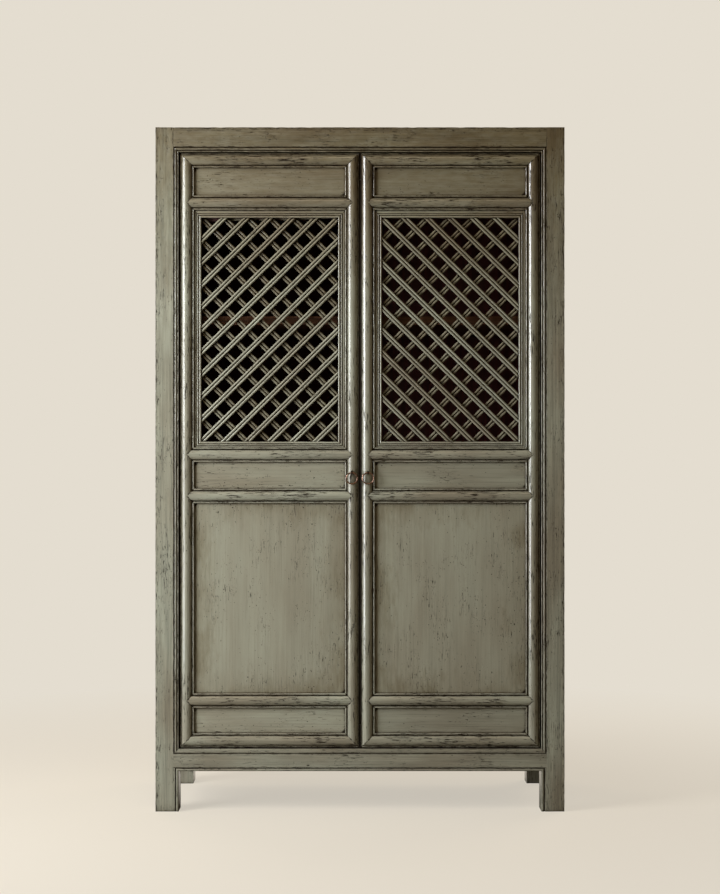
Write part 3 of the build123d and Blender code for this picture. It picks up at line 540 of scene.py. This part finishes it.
for side, (upright_tone, level_tone) in PANEL_LIGHT_AND_TONES.items():
    paint = milk_paint(f"sage_milk_paint_on_{side}_upright_board", UPRIGHT, wear=0.2, streaks=0.45,
                       smudge_and_shade=0.05, tone=upright_tone, border_shade=0.5)
    hand_worked(f"{side}_main_panel", paint, lacquer_upright, [Z, X], length=PANEL_SLICE)
    paint = milk_paint(f"sage_milk_paint_on_{side}_level_boards", LEVEL, wear=0.2, streaks=0.7,
                       smudge_and_shade=0.04, tone=level_tone, border_shade=0.12)
    for part in ("frieze_panel", "waist_panel", "base_panel"):
        hand_worked(f"{side}_{part}", paint, lacquer_level, [X, Z], length=PANEL_SLICE)


# Lattices. Reeded bars in two layers, the front ones rising to the middle of the cabinet, in a mitred frame
# with ridges. The front bars are wiped by dusting and painted paler, most on the left door, as painted
# light.
# The back bars keep their grime and are painted darker with the shade of the front bars.

RISING, FALLING = (1, 0, 1), (-1, 0, 1)
BAR_SLICE = 0.02

grain_rising, grain_falling = (0, radians(45), 0), (0, radians(-45), 0)
wiped_and_lit = {"wear": 0.4, "grime_and_shade": -0.12, "smudge_and_shade": -0.2}
front_paint = {RISING: milk_paint("sage_milk_paint_brushed_rising", grain_rising, tone=1.20, **wiped_and_lit),
               FALLING: milk_paint("sage_milk_paint_brushed_falling", grain_falling, tone=1.02, **wiped_and_lit)}
back_paint = {RISING: milk_paint("sage_milk_paint_grimy_shaded_rising", grain_rising, wear=0.4, grime_and_shade=0.08,
                                 tone=1.14),
              FALLING: milk_paint("sage_milk_paint_grimy_shaded_falling", grain_falling, wear=0.4, grime_and_shade=0.09,
                                  tone=1.04)}
ridged_upright = milk_paint("sage_milk_paint_on_upright_ridges", UPRIGHT, wear=0.3, grime_and_shade=-0.10)
ridged_level = milk_paint("sage_milk_paint_on_level_ridges", LEVEL, wear=0.3, grime_and_shade=-0.12, tone=1.16)
for side, front, back in (("left", RISING, FALLING), ("right", FALLING, RISING)):
    hand_worked(f"{side}_lattice_frame", ridged_level, lacquer_level, [Z, X], uprights=ridged_upright)
    hand_worked(f"{side}_lattice_front_bars", front_paint[front], lacquer_level, [front], length=BAR_SLICE)
    hand_worked(f"{side}_lattice_back_bars", back_paint[back], lacquer_level, [back], length=BAR_SLICE)


# Ring pulls. Rings of drawn brass wire hang in split staples that are driven through the meeting stiles.
# The rings have browned in spots and shine where fingers rub them. The staples are dull and nearly black.

brass = Finish("handled_brass")
spot = brass.add("MapRange", brass.pattern(6, 6, 3), 0.4, 0.65)  # spots of a fingertip's size and less
metal = brass.add("Mix", {0: spot, 6: srgb("#BF9C86"), 7: srgb("#50382D")}, **AS_COLORS)
grime_and_shade = brass.add("MapRange", brass.hollow(4), 0.6, 0.2)
metal = brass.add("Mix", {0: grime_and_shade, 6: metal, 7: srgb("#1E140C")}, **AS_COLORS)
rough = brass.add("MapRange", spot, 0, 1, 0.18, 0.38)
finish_with(brass.finished(metal, rough, spot, 0.1, Metallic=1.0), "left_pull_ring", "right_pull_ring")

tarnished = Finish("tarnished_brass")
spot = tarnished.add("MapRange", tarnished.pattern(3, 3, 3), 0.35, 0.65)
metal = tarnished.add("Mix", {0: spot, 6: srgb("#33221A"), 7: srgb("#1A110C")}, **AS_COLORS)
rough = tarnished.add("MapRange", spot, 0, 1, 0.4, 0.6)
finish_with(tarnished.finished(metal, rough, spot, 0.1, Metallic=1.0), "left_pull_staple",
            "right_pull_staple")


# Studio: a pale floor, a pale world, a tall window of soft light on the left in two panes, a weak lamp above
# and two behind, which light the back and the right side and don't reach the face.

IMAGE_HEIGHT = 894
HORIZON_ROW = 472
CAMERA_HEIGHT = 0.913
CAMERA_DISTANCE = 4.64  # in front of the cabinet's face
LENS = 69.5
FLOOR_REACH = 14.0
PALE = "#E4DDD0"
FLOOR_PAINT = "#8F887B"
FLOOR_GLOW = 0.72  # strength of the pale colour that only the camera sees on the floor
FLOOR_FADES = (0.8, 2.6)  # from the middle: where the floor starts to pass into the world's colour, and ends
AMBIENT = 0.12  # strength of the light from all around
DAYLIGHT, WARM_LIGHT, CEILING_LIGHT, AMBIENT_LIGHT = "#F6F9FF", "#FFF4E4", "#FFE6C4", "#F5D5A2"

floor_mesh = bpy.data.meshes.new("studio_floor")
corners = [(x * FLOOR_REACH, y * FLOOR_REACH, 0) for x, y in ((-1, -1), (1, -1), (1, 1), (-1, 1))]
floor_mesh.from_pydata(corners, [], [(0, 1, 2, 3)])
floor = bpy.data.objects.new("studio_floor", floor_mesh)
bpy.context.scene.collection.objects.link(floor)


def shown(finish, behind):
    """1 for the camera and for reflections of what lies behind the cabinet, 0 for all other rays."""
    camera_ray = finish.add("LightPath", output="Is Camera Ray")
    glossy_ray = finish.add("LightPath", output="Is Glossy Ray")
    clear_ray = finish.add("LightPath", output="Is Transmission Ray")
    mirrored = finish.add("Math", finish.most(glossy_ray, clear_ray), behind, operation="MULTIPLY")
    return finish.most(camera_ray, mirrored)


# The floor is matt painted board. The camera sees it pale, with the cabinet's shadow on it.
ground = Finish("pale_studio_floor")
reach = ground.add("VectorMath", ground.place, output="Value", operation="LENGTH")
depth = ground.add("SeparateXYZ", ground.place, output="Y")
seen = shown(ground, ground.add("MapRange", depth, -0.1, 0.4))
matt = ground.add("BsdfDiffuse", {"Color": srgb(FLOOR_PAINT)})
glow = ground.add("Math", seen, FLOOR_GLOW, operation="MULTIPLY")
lift = ground.add("Emission", {"Color": srgb(PALE), "Strength": glow})
near = ground.add("AddShader", matt, lift)
far = ground.add("Emission", {"Color": srgb(PALE), "Strength": 1.0})
away = ground.add("Math", ground.add("MapRange", reach, *FLOOR_FADES), seen, operation="MULTIPLY")
ground.add("OutputMaterial", ground.add("MixShader", away, near, far))
floor_mesh.materials.append(ground.material)


def area_light(name, place, target, width, height, power, color):
    """A rectangular lamp that faces a point."""
    data = bpy.data.lights.new(name, "AREA")
    data.shape = "RECTANGLE"
    data.size, data.size_y = width, height
    data.energy = power
    data.color = srgb(color)[:3]
    lamp = bpy.data.objects.new(name, data)
    lamp.location = place
    lamp.rotation_euler = (Vector(target) - Vector(place)).to_track_quat("-Z", "Y").to_euler()
    bpy.context.scene.collection.objects.link(lamp)
    return lamp


area_light("window_upper_pane", (-2.25, -1.45, 1.75), (0.2, -0.2, 1.0), 1.3, 1.44, 75, DAYLIGHT)
area_light("window_lower_pane", (-2.25, -1.45, 0.58), (0.2, -0.2, 0.8), 1.3, 0.86, 24, DAYLIGHT)
area_light("ceiling", (-0.3, -1.5, 3.2), (0, -0.24, 0.9), 2.4, 0.35, 8, CEILING_LIGHT)
fill_left = area_light("fill_behind_left", (-2.0, 2.6, 2.0), (0, 0.2, 0.9), 1.6, 1.6, 26, WARM_LIGHT)
fill_right = area_light("fill_behind_right", (2.3, 2.2, 2.0), (0, 0.2, 0.9), 1.6, 1.6, 34, WARM_LIGHT)
for lamp in (fill_left, fill_right):
    lamp.visible_glossy = False

world = bpy.data.worlds.new("studio")
bpy.context.scene.world = world
air = Finish("studio_air", owner=world)
facing = air.add("TexCoord", output="Generated")
depth = air.add("SeparateXYZ", facing, output="Y")
pale = air.add("Background", {"Color": srgb(PALE), "Strength": 1.0})
ambient = air.add("Background", {"Color": srgb(AMBIENT_LIGHT), "Strength": AMBIENT})
seen = shown(air, air.add("MapRange", depth, 0.0, 0.3))
air.add("OutputWorld", air.add("MixShader", seen, ambient, pale))

camera_data = bpy.data.cameras.new("camera")
camera_data.lens = LENS
camera_data.shift_y = (HORIZON_ROW - IMAGE_HEIGHT / 2) / IMAGE_HEIGHT
camera = bpy.data.objects.new("camera", camera_data)
camera.location = (0, boxes["front_left_post"][0].y - CAMERA_DISTANCE, CAMERA_HEIGHT)
camera.rotation_euler = (radians(90), 0, 0)
bpy.context.scene.collection.objects.link(camera)
bpy.context.scene.camera = camera
bpy.context.scene.view_settings.view_transform = "Standard"
